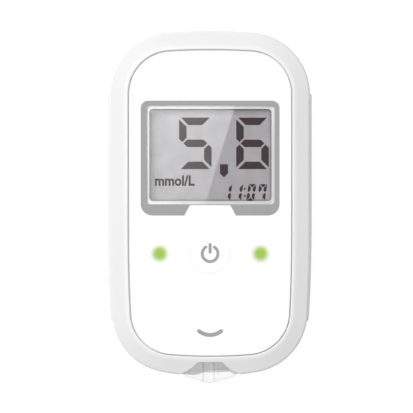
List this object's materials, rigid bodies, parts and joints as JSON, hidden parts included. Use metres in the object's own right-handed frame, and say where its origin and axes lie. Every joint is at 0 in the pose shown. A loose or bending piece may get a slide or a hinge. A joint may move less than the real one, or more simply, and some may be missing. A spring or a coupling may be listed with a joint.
{
  "type": "blood glucose meter",
  "caption": "Handheld blood glucose meter with a segment display, a flush power key, indicator lights, a test strip port and a hinged battery door.",
  "frame": {"origin": "centre of the box around the meter, on the flat back that it lies on", "axes": "+X to the right of the display, +Y towards the end away from the strip port, +Z out of the display"},
  "size_m": [0.0582, 0.0993, 0.018],
  "materials": {
    "shell_white": "moulded ABS, semi-gloss",
    "panel_white": "polycarbonate, high gloss",
    "print_grey": "screen-printed ink under gloss",
    "window_clear": "clear acrylic, polished",
    "bezel_white": "moulded, satin",
    "light_pipe_milk": "milky acrylic, lit green in the middle",
    "tape": "double-sided tape",
    "lcd_glass": "float glass",
    "polariser": "polarising film",
    "reflector": "silver-grey diffusing film",
    "lcd_dark": "driven liquid crystal bars",
    "rubber_grey": "silicone rubber and foam",
    "board_green": "solder resist over glass fibre",
    "chip_black": "moulded epoxy and nylon",
    "led_body": "clear epoxy, green",
    "steel": "nickel plated",
    "gold": "gold flashed",
    "guide_clear": "clear polycarbonate, moulded",
    "socket_ivory": "liquid crystal polymer",
    "label_white": "bare polyester label"
  },
  "bodies": {
    "case": {"buzzer": "chip_black", "case_screws": "steel", "chip_components": "chip_black", "coin_cell_left": "steel", "coin_cell_right": "steel", "controller_chip": "chip_black", "crystal": "steel", "display_bezel": "bezel_white", "display_frame": "print_grey", "display_window": "window_clear", "front_case": "shell_white", "front_overlay": "panel_white", "front_polariser": "polariser", "lcd_connector": "rubber_grey", "lcd_foam_pad": "rubber_grey", "lcd_lower_glass": "lcd_glass", "lcd_segments": "lcd_dark", "lcd_upper_glass": "lcd_glass", "led_left": "led_body", "led_right": "led_body", "light_pipe_left": "light_pipe_milk", "light_pipe_right": "light_pipe_milk", "main_board": "board_green", "overlay_adhesive": "tape", "rear_case": "shell_white", "rear_label": "label_white", "rear_reflector": "reflector", "side_contacts": "steel", "smile_mark": "print_grey", "spring_contacts": "steel", "strip_contacts": "gold", "strip_guide": "guide_clear", "strip_socket": "socket_ivory", "tact_switch": "chip_black"},
    "power_key": {"power_button": "panel_white", "power_symbol": "print_grey", "switch_plunger": "chip_black"},
    "door": {"battery_door": "shell_white"}
  },
  "joints": [
    {"name": "power_key_press", "type": "slide", "parent": "case", "child": "power_key", "axis": [0, 0, -1], "range_m": [0, 0.0003], "stiffness_N_per_m": 4000, "springref_m": -0.0001},
    {"name": "battery_door_hinge", "type": "hinge", "parent": "case", "child": "door", "pos_m": [0, 0.024, 0.0012], "axis": [1, 0, 0], "range_deg": [0, 85]}
  ]
}
